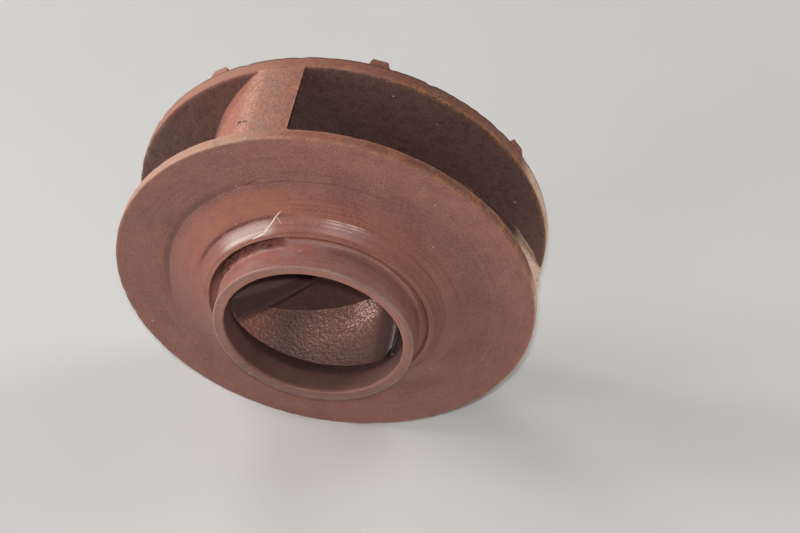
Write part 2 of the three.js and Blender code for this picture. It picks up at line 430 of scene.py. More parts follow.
# Where finishes change: low, high and the softness of both ends, in turns. Rings, glintArc and glintField are
# radii, and rearEdge is a place.
stretches = {
    "paleRim": (106, 150, 12), "paleFrontRim": (106, 165, 12), "wornRimAndPaintedLight": (-36, 14, 5),
    "rearRimPaintedSun": (4, 29, 4), "paleEdges": (-12, 78, 10), "rearEdge": (-87, -83, 0.8),
    "rearEdgeSide": (103, 152, 6), "redFace": (-8, 100, 22), "rustyFace": (14, 118, 22),
    "stepShadowRing": (134, 140.5, 1.6), "stepShadowSide": (128, 178, 14), "stepRing": (135.6, 136.7, 0.5),
    "stepSide": (64, 114, 7), "creaseRing": (106.6, 109.4, 0.8), "creaseSide": (104, 160, 9),
    "strongMarks": (-70, 104, 12), "fineRings": (110, 134, 3), "streakSide": (68, 84, 6),
    "orangeRing": (109, 130, 3), "orangeSide": (100, 168, 10), "freshNeck": (92, 158, 8),
    "dullNeck": (60, 150, 20), "neckEndRing": (76, 82, 0.9), "paintedLitFlankSide": (100, 146, 4),
    "vaneEndPaintedSun": (-36, 18, 4), "glintArc": (91, 112, 5), "glintField": (92, 134, 8),
    "glintSide": (-112, -48, 8),
}

finishes = {
    "primedCasting": {
        "slot": "primed_casting", "shade": (0.155, 0.05, 0.038), "light": (0.335, 0.142, 0.11),
        "rust": (0.5, 0.215, 0.115), "edgeRust": (0.42, 0.19, 0.085), "flecks": 0.62, "grain": 760.0,
        "lumps": 150.0, "clouds": 0.18, "roughness": 0.52, "bump": 0.55, "depth": 0.0007, "marks": 0.0,
        "pitch": 1.6,
    },
    "turnedCasting": {
        "slot": "turned_casting", "shade": (0.175, 0.05, 0.035), "light": (0.345, 0.132, 0.088),
        "rust": (0.46, 0.19, 0.1), "edgeRust": (0.42, 0.19, 0.14), "flecks": 0.36, "grain": 900.0,
        "lumps": 190.0, "clouds": 0.25, "roughness": 0.46, "bump": 0.4, "depth": 0.0005, "marks": 1.0,
        "pitch": 1.7,
    },
    "neckRing": {
        "slot": "neck_ring", "shade": (0.195, 0.07, 0.054), "light": (0.42, 0.205, 0.168),
        "rust": (0.44, 0.16, 0.1), "edgeRust": (0.27, 0.21, 0.15), "flecks": 0.4, "grain": 900.0,
        "lumps": 190.0, "clouds": 0.45, "roughness": 0.42, "bump": 0.4, "depth": 0.0005, "marks": 0.8,
        "pitch": 1.3,
    },
    "rawCasting": {
        "slot": "raw_casting", "shade": (0.19, 0.074, 0.056), "light": (0.48, 0.225, 0.165),
        "rust": (0.62, 0.27, 0.12), "edgeRust": (0.5, 0.25, 0.14), "flecks": 0.42, "grain": 420.0,
        "lumps": 280.0, "clouds": 0.15, "roughness": 0.34, "bump": 1.0, "depth": 0.0028, "marks": 0.0,
        "pitch": 1.6,
    },
    "boredHub": {
        "slot": "bored_hub", "shade": (0.15, 0.095, 0.07), "light": (0.33, 0.25, 0.2),
        "rust": (0.36, 0.15, 0.07), "edgeRust": (0.36, 0.18, 0.09), "flecks": 0.5, "grain": 900.0,
        "lumps": 190.0, "clouds": 0.5, "roughness": 0.42, "bump": 0.35, "depth": 0.0003, "marks": 1.0,
        "pitch": 1.0,
    },
}
skinTones = {
    "pit": (0.045, 0.02, 0.016),
    "inside": (0.106, 0.063, 0.056),  # painted shade in the passages and the eye
    # lighter copy of the passages' painted shade for the left side, as painted light
    "insideLit": (0.14, 0.073, 0.061),
    "boreWall": (0.069, 0.043, 0.037),
    "noseSkin": (0.14, 0.082, 0.068),
    "paintedLitNoseSkin": (0.208, 0.121, 0.104),
    "glint": (0.98, 0.64, 0.52),
    "scratchAndHighlight": (0.95, 0.76, 0.66),
    "rimSkin": (0.12, 0.05, 0.03),
    "rimTop": (0.262, 0.092, 0.058),
    "rimPale": (0.42, 0.205, 0.142),
    "rimPaintedLight": (0.88, 0.64, 0.47),
    "rimOrange": (0.5, 0.205, 0.1),
    "rimOlive": (0.25, 0.185, 0.13),
    "warm": (0.39, 0.134, 0.076),
    "paleEdge": (0.52, 0.33, 0.24),
    "facePink": (0.36, 0.136, 0.11),
    "greyFlank": (0.19, 0.115, 0.098),
    "paintedLitFlank": (0.57, 0.275, 0.2),
    "flankRed": (0.5, 0.175, 0.118),
    "cool": (0.205, 0.098, 0.098),
    "paintedStepShadow": (0.12, 0.066, 0.062),
    "rootRed": (0.19, 0.058, 0.042),
    "rootDark": (0.04, 0.016, 0.013),
    "freshRed": (0.45, 0.14, 0.096),
    "greyPink": (0.33, 0.205, 0.175),
    "crease": (0.1, 0.022, 0.016),
    "neckBand": (0.43, 0.165, 0.11),
    "polishedAndHighlight": (0.64, 0.5, 0.43),
    "dust": (0.7, 0.64, 0.56),
}


# Colour of the rims and of the vanes' flush ends, which changes round the wheel: a darker skin on the right
# and below, partly oxide and partly painted shade, painted light on the upper left, and painted sunlight
# patches on the right.
def rimTone(at, skin, light):
    # Darker on the right and below and lighter above: partly the oxide skin, partly painted shade and light.
    tone = lay("rimSkin", "rimTop", ramp(at.turn, 62, 88))
    # Painted light on the upper left.
    tone = lay(tone, "rimPale", within(at.turn, "paleRim"))
    # Painted sunlight patches on the right of both rims, and painted light on the front rim at the upper
    # left.
    rearSunPatch = times(within(at.turn, "rearRimPaintedSun"), ramp(at.place, -80, -83))
    tone = lay(tone, "rimPaintedLight", highest(within(at.turn, "wornRimAndPaintedLight"), rearSunPatch))
    tone = lay(tone, "rimPaintedLight", within(at.turn, "paleFrontRim"), ramp(at.place, -12, -9), 0.35)
    tone = lay(tone, light, ramp(skin.speckle, 0.36, 0.64, 0.0, 0.4))
    tone = lay(tone, "rimOrange", ramp(skin.mottle, 0.52, 0.62, 0.0, 0.38))
    tone = lay(tone, "rimOlive", ramp(skin.mottle, 0.47, 0.38, 0.0, 0.42))
    return lay(tone, "pit", ramp(skin.speckle, 0.4, 0.3, 0.0, 0.55))


# The turned cone: concentric marks, plain cast skin towards the face, orange primer at the upper left,
# tool-mark rings on the left drawn as painted raking light and shade, and a painted shadow line along the
# step.
def coneTone(at, skin, marks, mixed, look, colour):
    radius, turn, mottle, primed = at.radius, at.turn, skin.mottle, finishes["primedCasting"]
    rightSide = within(turn, "strongMarks")
    colour = lay(colour, look["light"], marks.streaks, scaled(rightSide, 0.3, 0.25), look["marks"])
    colour = lay(colour, look["shade"], marks.furrows, scaled(rightSide, 0.42, 0.28), look["marks"])
    colour = lay(colour, lay(primed["shade"], primed["light"], mixed), ramp(radius, 111, 133))
    orange = ramp(mottle, 0.35, 0.65, 0.22, 0.48)
    colour = lay(colour, "warm", within(radius, "orangeRing"), within(turn, "orangeSide"), orange)
    # Real tool-mark rings, coloured only on the left, as painted raking light and shade.
    wave = calc("SINE", times(scaled(skin.clouds, 2.5, radius), 2.73))
    leftSide = times(ramp(at.across, -80, -102), within(radius, "fineRings"))
    leftSide = times(leftSide, ramp(marks.height, 0.4, 0.62, 0.3, 1.0))
    colour = lay(colour, "cool", ramp(wave, 0.0, 0.9, 0.0, 0.6), leftSide)
    colour = lay(colour, "neckBand", ramp(wave, -0.1, -0.9, 0.0, 0.4), leftSide)
    crease = times(within(radius, "creaseRing"), within(turn, "creaseSide"))
    crease = times(crease, ramp(mottle, 0.35, 0.55, 0.35, 0.9))
    # A painted shadow line along the step where it runs out, in the crease colour.
    wander = scaled(minus(skin.clouds, 0.5), 6.0, radius)
    stepShadowLine = times(within(wander, "stepRing"), within(turn, "stepSide"))
    stepShadowLine = times(stepShadowLine, ramp(mottle, 0.38, 0.52, 0.25, 0.6))
    return lay(colour, "crease", highest(crease, stepShadowLine))


# 1 on the flat face of the suction side.
def onFace(at):
    return ramp(at.place, -3, -1)


# Painted shadow of the step, on the face at the upper left.
def touchPrimed(at, skin, colour):
    stepShadowBand = times(within(at.radius, "stepShadowRing"), within(at.turn, "stepShadowSide"))
    return lay(colour, "paintedStepShadow", stepShadowBand, ramp(skin.mottle, 0.35, 0.55, 0.3, 0.65), onFace(at))


def touchTurned(at, skin, colour):
    # Painted highlights: thin bright streaks on the brow's tool marks.
    for low, high in brightStreaks:
        streak = times(band(at.radius, low, high, 0.3), within(at.turn, "streakSide"))
        colour = lay(colour, "scratchAndHighlight", streak, ramp(skin.mottle, 0.4, 0.58, 0.15, 0.75))
    return colour


def touchNeck(at, skin, colour):
    turn, mottle = at.turn, skin.mottle
    onWall, onEnd = ramp(at.place, 47.0, 45.5), ramp(at.place, 47.2, 48.2)
    colour = lay(colour, "freshRed", within(turn, "freshNeck"), onWall, ramp(mottle, 0.48, 0.62, 0.0, 0.5))
    colour = lay(colour, "greyPink", within(turn, "dullNeck"), onWall, ramp(mottle, 0.48, 0.38, 0.0, 0.5))
    inner = times(onEnd, within(at.radius, "neckEndRing"))
    colour = lay(colour, "neckBand", inner, ramp(mottle, 0.4, 0.56, 0.3, 0.8))
    # Painted shade: the end face darker towards the bottom, and the bore wall darker, most towards the top.
    colour = lay(colour, "boreWall", onEnd, ramp(at.up, 30, -75, 0.12, 0.55))
    inBore = times(ramp(at.radius, 83, 80), ramp(at.place, 47.5, 43.5))
    return lay(colour, "boreWall", inBore, ramp(at.up, 10, -50, 0.66, 0.54))


# Inside the eye: painted shade, greyer and darker towards the left, smooth dark skin near the leading edges
# with a painted shade line along them, and painted glints on the flank further out.
def touchRaw(at, skin, colour):
    radius, place, turn, across = at.radius, at.place, at.turn, at.across
    inEye = ramp(radius, 155, 135)
    offEnd = minus(1.0, times(ramp(radius, 179.5, 181.5), ramp(turn, 109.2, 107.6)))
    # Painted light: a lighter copy of the flank colour on vane 1's outer flank towards its tip, on the left.
    flankTone = lay("paintedLitFlank", "flankRed", ramp(turn, 112, 117))
    speckled = ramp(skin.grains, 0.42, 0.6, 0.15, 0.95)
    colour = lay(colour, flankTone, ramp(radius, 136, 163), within(turn, "paintedLitFlankSide"), speckled, offEnd)
    # Painted shade in the eye: greyer towards the left, and darker grains.
    colour = lay(colour, "greyFlank", inEye, ramp(across, -60, 5, 0.55, 0.1))
    colour = lay(colour, "pit", ramp(skin.height, 0.53, 0.42), scaled(inEye, 0.27, 0.16))
    colour = lay(colour, "rimPale", ramp(skin.grains, 0.54, 0.66), scaled(inEye, -0.15, 0.35))
    # More painted shade in the eye, deeper towards the left.
    colour = lay(colour, "inside", inEye, ramp(across, 25, -70, 0.42, 0.76))
    # Smooth skin near the leading edges, with a lighter copy on vane 1 at the left as painted light.
    colour = lay(colour, lay("noseSkin", "paintedLitNoseSkin", ramp(across, 10, -20)), smoothFlank(at))
    # A painted shade line along the vanes' leading edges.
    fromEdge = minus(radius, scaled(place, *leadingEdge))
    colour = lay(colour, "pit", ramp(fromEdge, 4.0, 2.0, 0.0, 0.5))
    # Painted shade on the flank seen on the right, inside the rim.
    colour = lay(colour, "inside", ramp(across, 112, 122), ramp(radius, 166, 158), 0.7)
    # Painted sunlight on vane 2's end and on its flank near the tip, on the right.
    paleTone = lay("rimPale", "rimPaintedLight", ramp(skin.grains, 0.34, 0.58, 0.3, 1.0))
    colour = lay(colour, paleTone, within(turn, "vaneEndPaintedSun"), ramp(radius, 154, 162), 0.8)
    aside = plus(scaled(turn, 2.08, -205.72), place)  # from the line through the pits
    for low, high, half in endPits:
        pit = times(band(turn, low, high, 0.2), band(aside, -half, half, 0.4))
        colour = lay(colour, "pit", pit, ramp(radius, 172, 174))
    # Painted glints: bright specks on the flank in the eye, with the flank reddened under them.
    arc = times(within(radius, "glintArc"), ramp(place, -40, -64), ramp(across, -25, 30))
    wide = times(within(radius, "glintField"), ramp(place, -5, -55))
    limit = minus(0.74, scaled(arc, 0.12, times(wide, 0.12)))
    limit = minus(limit, times(minus(noiseOf(at.rings, 0.33, 0.0), 0.5), 0.1))
    sparks = calc("MULTIPLY", minus(skin.grains, limit), 20.0, clamp=True)
    lit = times(highest(arc, times(wide, 0.6)), within(turn, "glintSide"))
    return lay(lay(colour, "freshRed", lit, 0.22), "glint", sparks, lit)


# High where the flow has kept the vanes' skin smooth, from the leading edge to the edge of the eye.
def smoothFlank(at):
    return times(ramp(scaled(at.place, 0.065, at.radius), 90, 86.5), 0.9)


ownTouches = {
    "primedCasting": touchPrimed, "turnedCasting": touchTurned, "neckRing": touchNeck, "rawCasting": touchRaw,
}


# Red primer and faint tool marks on the flat faces, and the tones of the rims.
def primedTone(at, skin, marks, look, colour):
    reddened = times(onFace(at), within(at.turn, "redFace"), ramp(skin.mottle, 0.4, 0.62, 0.12, 0.5))
    colour = lay(colour, "facePink", reddened, ramp(at.radius, 147, 168))
    faceMarks = times(onFace(at), 0.3)
    colour = lay(colour, look["shade"], marks.furrows, faceMarks)
    colour = lay(colour, look["light"], marks.streaks, faceMarks)
    return lay(colour, rimTone(at, skin, look["light"]), ramp(at.radius, 180.7, 181.8), 0.78)


# Painted shade in the passages, lighter towards the left as painted light.
def passageTone(at, skin, masks, look, colour):
    inside = times(masks.inside, ramp(skin.speckle, 0.25, 0.75, 0.95, 0.6), ramp(at.radius, 181.7, 181.0))
    tone = lay("inside", "insideLit", ramp(at.across, -50, -120))
    tone = lay(tone, "pit", ramp(skin.height, 0.52, 0.4, 0.0, 0.5))
    tone = lay(tone, look["shade"], ramp(skin.grains, 0.56, 0.7, 0.0, 0.45))
    return lay(colour, tone, inside)


def addEdges(at, skin, masks, look, colour):
    rightSide = within(at.turn, "paleEdges")
    patchy = times(ramp(skin.mottle, 0.4, 0.58, 0.25, 1.0), scaled(rightSide, 0.45, 0.4))
    edgeTone = lay("paleEdge", look["edgeRust"], rightSide)
    colour = lay(colour, edgeTone, masks.edge, ramp(skin.speckle, 0.36, 0.6), patchy)
    colour = lay(colour, "pit", masks.edge, ramp(at.place, -93, -95), 0.8)
    # A painted highlight line along the rear rim's front edge, at the upper left.
    paleEdge = times(within(at.place, "rearEdge"), within(at.turn, "rearEdgeSide"))
    return lay(colour, look["light"], masks.edge, paleEdge, 0.6)


# The rough root of the groove, and the bright patch on the brow: partly metal rubbed bright and partly a
# painted highlight.
def addWear(at, skin, marks, masks, turned, colour):
    rootMix = times(plus(noiseOf(at.rings, 0.8, 3.0, 0.7), skin.height), 0.5)
    colour = lay(colour, lay("rootDark", "rootRed", ramp(rootMix, 0.41, 0.55)), masks.raw, 0.95)
    patchStreaks = ramp(marks.streaks if turned else skin.speckle, 0.1, 0.8, 0.6, 1.0)
    return lay(colour, "polishedAndHighlight", masks.worn, times(patchStreaks, ramp(skin.speckle, 0.34, 0.48, 0.5, 1.0)))


# Gives a new material, its tree, its shader's sockets and its Object coordinates.
def newMaterial(name):
    material = bpy.data.materials.new(name)
    material.use_nodes = True
    tree = material.node_tree
    vector = put(tree, "ShaderNodeTexCoord").outputs["Object"]
    return material, tree, tree.nodes["Principled BSDF"].inputs, vector


def makeFinish(name):
    look = finishes[name]
    turned = look["marks"] > 0
    material, tree, shader, vector = newMaterial(name)
    at = useGroup("places", {"Vector": vector})
    skin = useGroup("skin", {"Vector": vector, "Grain": look["grain"], "Lumps": look["lumps"]})
    marks = useGroup("marks", {"Rings": at.rings, "Pitch": look["pitch"]})
    masks = SimpleNamespace()
    for label in ("edge", "worn", "inside", "raw"):
        node = put(tree, "ShaderNodeAttribute", None, {"attribute_name": label})
        setattr(masks, label, node.outputs["Fac"])
    amount = scaled(times(onFace(at), within(at.turn, "rustyFace")), 0.22, look["flecks"])
    rust = useGroup("rust", {"Vector": vector, "Amount": amount})

    mixed = plus(times(skin.clouds, look["clouds"]), times(skin.speckle, 1 - look["clouds"]))
    mixed = ramp(mixed, 0.33, 0.67)
    colour = lay(look["shade"], look["light"], mixed)
    colour = lay(colour, "warm", ramp(skin.mottle, 0.52, 0.66, 0.0, 0.2))
    colour = lay(colour, "cool", ramp(skin.mottle, 0.48, 0.34, 0.0, 0.32))
    height, rough = skin.height, look["roughness"]
    if turned:
        colour = coneTone(at, skin, marks, mixed, look, colour)
        asCast = ramp(at.radius, 111, 133)
        cut = plus(times(height, 0.35), times(marks.height, 0.65))
        height = put(tree, "ShaderNodeMix", {"Factor": asCast, "A": cut, "B": height}).outputs[0]
        rough = scaled(asCast, finishes["primedCasting"]["roughness"] - rough, rough)
    else:
        colour = primedTone(at, skin, marks, look, colour)
    if name in ownTouches:
        colour = ownTouches[name](at, skin, colour)
    colour = passageTone(at, skin, masks, look, colour)
    colour = lay(colour, "pit", skin.pits, 0.6)
    colour = lay(colour, look["rust"], rust.flecks, scaled(masks.inside, -0.45, 0.52))
    colour = addEdges(at, skin, masks, look, colour)
    colour = addWear(at, skin, marks, masks, turned, colour)
    if name == "turnedCasting":
        for mark in marksOnWheel.values():
            colour = lay(colour, "scratchAndHighlight", lineMark(at, mark), 0.9)
    feed(shader["Base Color"], lay(colour, "dust", rust.dust, 0.55))

    gloss = scaled(masks.worn, 0.26, plus(ramp(skin.speckle, 0.3, 0.7, -0.1, 0.12), rough))
    dull = masks.raw
    if not turned:
        dull = highest(dull, ramp(at.radius, 180.9, 181.7))
    if name == "rawCasting":
        dull = highest(dull, ramp(at.radius, 150, 165))
    feed(shader["Roughness"], scaled(dull, 0.2, gloss))
    feed(shader["Specular IOR Level"], scaled(dull, -0.32, 0.5))
    depth = plus(scaled(dull, -0.5, 1.0), times(masks.inside, 3.0))
    depth = plus(depth, times(masks.raw, 4.0))
    if name == "rawCasting":
        depth = times(depth, scaled(smoothFlank(at), -0.85, 1.0))
    bump = put(tree, "ShaderNodeBump", {
        "Strength": scaled(masks.raw, 0.3, look["bump"]), "Height": height,
        "Distance": times(depth, look["depth"]),
    })
    feed(shader["Normal"], bump.outputs["Normal"])
    return material


materials = {name: makeFinish(name) for name in finishes}
print("finishes ready")


def dress(piece, finish, *nodes):
    piece.data.materials.clear()
    piece.data.materials.append(materials[finish])
    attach(piece, "root")
    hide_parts(*nodes)
    print(piece.name, "done,", len(piece.data.polygons), "faces")


# Turns a closed outline round the axis, in the place of the nodes. reshape(radius, angle, place, edge) moves
# a worn or rough point, and each function in masks gives a named attribute for the finish.
def turnPiece(nodes, finish, outline, angles, reshape, **masks):
    vertices, attributes = [], {label: [] for label in ("edge", *masks)}
    for angle in angles:
        for radius, place, edge in outline:
            newRadius, newPlace = reshape(radius, angle, place, edge)
            vertices.append(wheelPoint(newRadius, angle, newPlace))
            attributes["edge"].append(edge)
            for label, mask in masks.items():
                attributes[label].append(mask(radius, angle, place))
    faces = rowFaces(len(outline), len(angles), True)
    dress(makeObject(nodes[0] + "_skin", vertices, faces, attributes), finish, *nodes)


rimWear = {"from": 150, "full": 182, "waveDepth": 0.3}


def nibbleOf(radius, angle, place, edge, look):
    bite = max(lumps(radius, angle, place, look["nibbleSize"], look["nibbleSeed"]), 0)
    return bite * look["nibbleDepth"] * edge


# Gives a rim's point its worn radius, the nibble's depth there and how strong the wear is, from 0 to 1.
def wearRim(radius, angle, place, edge, look):
    outward = smoothStep(rimWear["from"], rimWear["full"], radius)
    nibble = nibbleOf(radius, angle, place, edge, look)
    wave = 0.5 + 0.5 * lumps(radius, angle, place, look["waveSize"], look["waveSeed"])
    return radius - (nibble + wave * rimWear["waveDepth"] * outward) * outward, nibble, outward


# Camera

camera = {
    "lens": 79.06,
    "spot": (0.2232, -0.9911, 1.3188),
    "forward": (-0.1072, 0.6583, -0.7451),
}
cameraData = bpy.data.cameras.new("camera")
cameraData.lens = camera["lens"]
cameraData.sensor_width = 36
cameraData.clip_end = 50
cameraObject = addToScene("camera", cameraData)
cameraObject.location = camera["spot"]
cameraObject.rotation_euler = Vector(camera["forward"]).to_track_quat("-Z", "Y").to_euler()
bpy.context.scene.camera = cameraObject

# Front rim

frontRim = {
    "segments": 420,
    "stepRadius": 135.5,
    "stepDepth": 1.0,
    "stepRun": 1.2,  # width of the step's slope, wider where the cut ran deeper
    "stepRunDeep": 5.0,
    "deepStep": (100, 215),
    "frontEdge": 1.1,
    "backEdge": 0.9,
    "nibbleSize": 9.0,
    "nibbleDepth": 0.55,
    "nibbleSeed": 3.0,
    "waveSize": 30.0,
    "waveSeed": 9.0,
}


# 1 where the cone was cut deep into the face, 0 where the two run into each other.
def deepShare(angle):
    degrees = math.degrees(angle)
    low, high = frontRim["deepStep"]
    return window(degrees, low, low + 22, high - 45, high)


def stepRun(angle):
    return frontRim["stepRun"] + (frontRim["stepRunDeep"] - frontRim["stepRun"]) * deepShare(angle)


def wornRimAndPaintedLight(radius, angle, place, edge):
    reach = radius - frontRim["stepRadius"]
    if reach < 16 and place > -0.9:
        return radius + stepRun(angle) * min(place + 1, 1) * (1 - max(reach, 0) / 16), place
    radius, nibble, outward = wearRim(radius, angle, place, edge, frontRim)
    return radius, place - nibble * (1 if place > innerFace / 2 else -1) * 0.6 * outward


def innerSide(radius, angle, place):
    return smoothStep(innerFace + 1.4, innerFace + 0.4, place)


def makeFrontRim():
    outer, step = wheel["radius"], frontRim["stepRadius"]
    foot = -frontRim["stepDepth"]
    corners = [
        (outer, innerFace, frontRim["backEdge"]),
        (outer, 0.0, frontRim["frontEdge"]),
        (step + 0.6, 0.0, 0.4),
        (step, foot, 0.0),
        *mouthCurve(foot, innerFace, 14),
    ]
    outline = roundedOutline(corners, counts=lambda radius, place: radius > 150)
    angles = evenAngles(frontRim["segments"])
    turnPiece(["front_rim"], "primedCasting", outline, angles, wornRimAndPaintedLight, inside=innerSide)


makeFrontRim()

# Front cone

suctionNeck = {
    "segments": 320,
    "outerRadius": 86.0,
    "reach": 48.5,
    "rootRadius": 89.5,
    "rootReach": 24.0,
    "outerEdge": 1.3,
    "innerEdge": 1.6,
    "roughRoot": (106, 172),
    "roughReach": 27.0,
    "swell": 1.3,
    "swellSize": 4.5,
    "nibbleSize": 7.0,
    "nibbleDepth": 0.4,
    "nibbleSeed": 8.0,
}

frontCone = {
    "segments": 360,
    "footRadius": 135.2,
    "crease": (107.0, 12.8, 5.0),
    "brow": (99.0, 21.8, 4.0),
    "lip": (95.0, 23.9, 0.7),
    "groove": (92.4, 20.9, 1.8),
    "grooveFloor": (88.0, 20.5, 0.0),
    "rootDepth": 4.2,  # how much deeper the groove is where it was never turned
    "brightPatch": (111, 140),
    "brightRing": (97, 99.5, 103, 108),
    "runOutStart": 118.0,  # where no step was cut, the cone bends from here until it is flush with the face
    "runOutWidth": 30.3,
}


# Where the brow is painted bright: partly metal rubbed bright, partly a painted highlight.
def brightPatch(radius, angle, place):
    degrees = math.degrees(angle)
    low, high = frontCone["brightPatch"]
    along = window(degrees, low - 4, low + 4, high - 8, high + 6)
    return along * window(radius, *frontCone["brightRing"]) * (place > 9)


# The stretch of the groove that was never turned, from 0 to 1.
def rootShare(angle):
    degrees = math.degrees(angle)
    low, high = suctionNeck["roughRoot"]
    return window(degrees, low - 2, low + 2, high - 22, high + 6)


# Sinks the rough stretch of the groove, and bends the cone's foot out onto the face where no step was cut.
def shapedCone(radius, angle, place, edge):
    if place > 17 and radius < 94.4:
        return radius, place - frontCone["rootDepth"] * rootShare(angle) * smoothStep(94.4, 92.6, radius)
    start, width = frontCone["runOutStart"], frontCone["runOutWidth"]
    if place < 0.01 - frontRim["stepDepth"] or radius < start:
        return radius, place
    span = frontCone["footRadius"] - start
    flush = 1 - deepShare(angle)
    spread = radius + flush * (radius - start) * (width / span - 1)
    left = 1 - (spread - start) / width
    creaseRadius, creasePlace, _ = frontCone["crease"]
    slope = (creasePlace + frontRim["stepDepth"]) / (frontCone["footRadius"] - creaseRadius)
    bent = slope * width / 2 * left * left - 0.03
    return spread, place + (bent - place) * flush


def rawRoot(radius, angle, place):
    return rootShare(angle) * smoothStep(94.6, 93.4, radius) * (place > 14)


def nearMouth(radius, angle, place):
    return smoothStep(2, 0, radius - mouthRadiusAt(min(place, 30.9)))


def makeFrontCone():
    foot = -frontRim["stepDepth"]
    corners = [
        (frontCone["footRadius"], foot, 0.0),
        frontCone["crease"],
        frontCone["brow"],
        frontCone["lip"],
        frontCone["groove"],
        frontCone["grooveFloor"],
        *mouthCurve(frontCone["grooveFloor"][1], foot, 14),
    ]
    outline = roundedOutline(corners, 2.0, counts=lambda radius, place: 93.8 < radius < 96)
    angles = evenAngles(frontCone["segments"])
    masks = {"worn": brightPatch, "raw": rawRoot, "inside": nearMouth}
    turnPiece(["front_cone", "front_shoulder"], "turnedCasting", outline, angles, shapedCone, **masks)


makeFrontCone()

# Suction neck

def rootMask(radius, angle, place):
    limit = suctionNeck["roughReach"] + 1.6 * lumps(radius, angle, 0, 9, 5.0)
    return rootShare(angle) * (1 - smoothStep(limit - 1.4, limit + 0.6, place)) * (radius > 84)


def roughRoot(radius, angle, place, edge):
    swell = suctionNeck["swell"] * (1 + lumps(radius, angle, place, suctionNeck["swellSize"], 2.0))
    nibble = nibbleOf(radius, angle, place, edge, suctionNeck)
    radius += rootMask(radius, angle, place) * swell - nibble * (1 if radius > 80 else -1)
    return radius, place - nibble * 0.6


def deepBore(radius, angle, place):
    return smoothStep(28.5, 25.5, place) * (radius < 84)


def makeSuctionNeck():
    outer, bottom = suctionNeck["outerRadius"], frontCone["grooveFloor"][1]
    corners = [
        (suctionNeck["rootRadius"], bottom - 5.0, 0.0),
        (suctionNeck["rootRadius"], bottom - 0.4, 0.0),
        (outer + 1.0, bottom + 1.6, 2.0),
        (outer, suctionNeck["rootReach"], 0.0),
        (outer, suctionNeck["reach"], suctionNeck["outerEdge"]),
        (wheel["eyeRadius"], suctionNeck["reach"], suctionNeck["innerEdge"]),
        *mouthCurve(wheel["boreEnd"], bottom, 12),
    ]
    outline = roundedOutline(corners, 1.8, counts=lambda radius, place: place > 40 and radius > 80)
    angles = evenAngles(suctionNeck["segments"])
    turnPiece(["suction_neck"], "neckRing", outline, angles, roughRoot, raw=rootMask, inside=deepBore)


makeSuctionNeck()

# Rear shroud

rearShroud = {
    "segments": 420,
    "frontEdge": 1.3,
    "backEdge": 1.0,
    "nibbleSize": 8.0,
    "nibbleDepth": 0.9,
    "nibbleSeed": 13.0,
    "waveSize": 26.0,
    "waveSeed": 19.0,
    "boreWall": 6.0,  # the keyed bore blends into round rings over this much of the radius
    "plainRadius": 60.0,
    "skinDepth": 0.25,
    "skinSize": 14.0,
}


def roughPlate(radius, angle, place, edge):
    bore, wall = wheel["shaftRadius"], rearShroud["boreWall"]
    if radius <= bore + wall:
        share = (radius - bore) / wall
        return keyedBoreRadius(angle) * (1 - share) + (bore + wall) * share, place
    if radius < rearShroud["plainRadius"]:
        return radius, place
    onFront, rough = place > rearFace - 2, lumps(radius, angle, 0, rearShroud["skinSize"], 4.0)
    radius, nibble, _ = wearRim(radius, angle, place, edge, rearShroud)
    sink = rearShroud["skinDepth"] * rough * onFront - nibble * 0.7 * (1 if place > rearFace - 5 else -1)
    return radius, place + sink


def plateInside(radius, angle, place):
    return smoothStep(rearFace - 2, rearFace - 0.5, place)


def makeRearShroud():
    corners = [
        (wheel["shaftRadius"], plateBack, 0.0),
        (wheel["radius"], plateBack, rearShroud["backEdge"]),
        (wheel["radius"], rearFace, rearShroud["frontEdge"]),
        (wheel["shaftRadius"], rearFace, 0.0),
    ]
    outline, angles = roundedOutline(corners, 3.0), boreAngles(rearShroud["segments"])
    turnPiece(["rear_shroud"], "primedCasting", outline, angles, roughPlate, inside=plateInside)


makeRearShroud()

# Hub: nose in the eye and boss on the back

hub = {
    "segments": 240,
    "flareRadius": 79.0,
    "flareSteps": 24,
    "noseRadius": 41.0,
    "noseReach": -47.0,
    "noseEdge": 6.0,
    "bossRadius": 52.0,
    "bossHeight": 8.0,
    "boreWall": 2.5,
    "skinFrom": 36.0,
    "skinDepth": 0.35,
    "skinSize": 11.0,
}


def keyedWall(radius, angle, place, edge=0.0):
    if radius <= wheel["shaftRadius"] + hub["boreWall"]:
        radius += keyedBoreRadius(angle) - wheel["shaftRadius"]
    return radius, place


def castWall(radius, angle, place, edge):
    if radius > hub["skinFrom"]:
        radius += hub["skinDepth"] * lumps(radius, angle, place, hub["skinSize"], 6.0)
    return keyedWall(radius, angle, place)


def makeHubNose():
    span = hub["flareRadius"] - hub["noseRadius"]
    rise = hub["noseReach"] - hub["noseEdge"] - 1 - rearFace
    turns = [math.pi / 2 * step / hub["flareSteps"] for step in range(hub["flareSteps"] + 1)]
    flare = [(hub["flareRadius"] - span * math.sin(turn), rise * (1 - math.cos(turn))) for turn in turns]
    corners = [
        (wheel["shaftRadius"], rearFace - 0.6, 0.0),
        (hub["flareRadius"], rearFace - 0.6, 0.0),
        *((radius, rearFace + place, 0.0) for radius, place in flare),
        (hub["noseRadius"], hub["noseReach"], hub["noseEdge"]),
        (wheel["shaftRadius"], hub["noseReach"], 1.0),
    ]
    nodes = ["hub_nose", "hub_flare"]
    turnPiece(nodes, "rawCasting", roundedOutline(corners), boreAngles(hub["segments"]), castWall)


